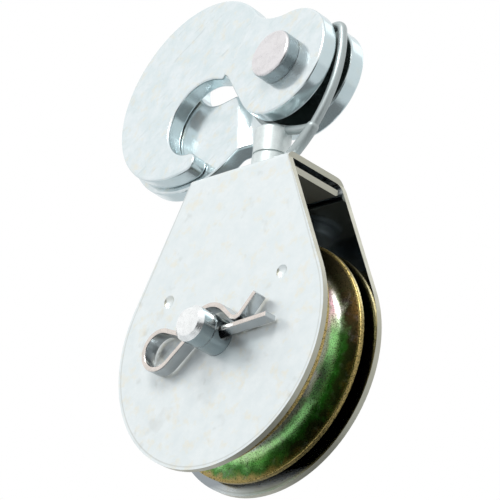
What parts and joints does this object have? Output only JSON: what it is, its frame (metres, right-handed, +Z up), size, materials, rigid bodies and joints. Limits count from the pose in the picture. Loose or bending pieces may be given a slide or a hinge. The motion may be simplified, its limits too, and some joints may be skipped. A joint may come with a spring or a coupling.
{
  "type": "double hook rope pulley",
  "caption": "Rope block with a grooved sheave in a bent steel case, a swivel eye on top and two sister hooks that close on each other.",
  "frame": {"origin": "centre of the sheave, on the axle's centre line, midway between the cheeks", "axes": "+Z up the case from the sheave towards the hooks, Y along the axle with the clip end at -Y, X across the cheeks with the hooks' bodies lying towards -X at rest"},
  "size_m": [0.0953, 0.0368, 0.1443],
  "materials": {
    "case_zinc": "pale zinc-plated sheet",
    "hook_zinc": "bluish zinc-plated plate",
    "eye_zinc": "zinc-plated round wire",
    "rivet_steel": "bright plated",
    "sheave_chromate": "yellow chromate with pink and green sheen",
    "bush_steel": "oiled sintered steel",
    "pin_zinc": "zinc-plated turned steel",
    "clip_nickel": "bright nickel-plated spring strip"
  },
  "bodies": {
    "root": {"case": "case_zinc", "doubler_plate": "case_zinc", "spacer_washer": "eye_zinc"},
    "sheave": {"sheave": "sheave_chromate", "sheave_bush": "bush_steel"},
    "axle": {"axle_pin": "pin_zinc", "spring_clip": "clip_nickel"},
    "swivel": {"swivel_eye": "eye_zinc", "swivel_washer": "eye_zinc", "hook_rivet": "rivet_steel"},
    "front_hook": {"front_hook": "hook_zinc"},
    "rear_hook": {"rear_hook": "hook_zinc"}
  },
  "joints": [
    {"name": "sheave_spin", "type": "hinge", "parent": "root", "child": "sheave", "pos_m": [0, 0, 0], "axis": [0, 1, 0], "continuous": true},
    {"name": "axle_turn", "type": "hinge", "parent": "root", "child": "axle", "pos_m": [0, 0, 0], "axis": [0, 1, 0], "continuous": true},
    {"name": "swivel_turn", "type": "hinge", "parent": "root", "child": "swivel", "pos_m": [0, 0, 0.0473], "axis": [0, 0, 1], "continuous": true},
    {"name": "front_hook_swing", "type": "hinge", "parent": "swivel", "child": "front_hook", "pos_m": [0.0043, 0.0029, 0.0781], "axis": [0.072, 0.9919, -0.1045], "range_deg": [-15, 175]},
    {"name": "rear_hook_swing", "type": "hinge", "parent": "swivel", "child": "rear_hook", "pos_m": [0.0043, 0.0029, 0.0781], "axis": [0.072, 0.9919, -0.1045], "range_deg": [-13, 175]}
  ]
}
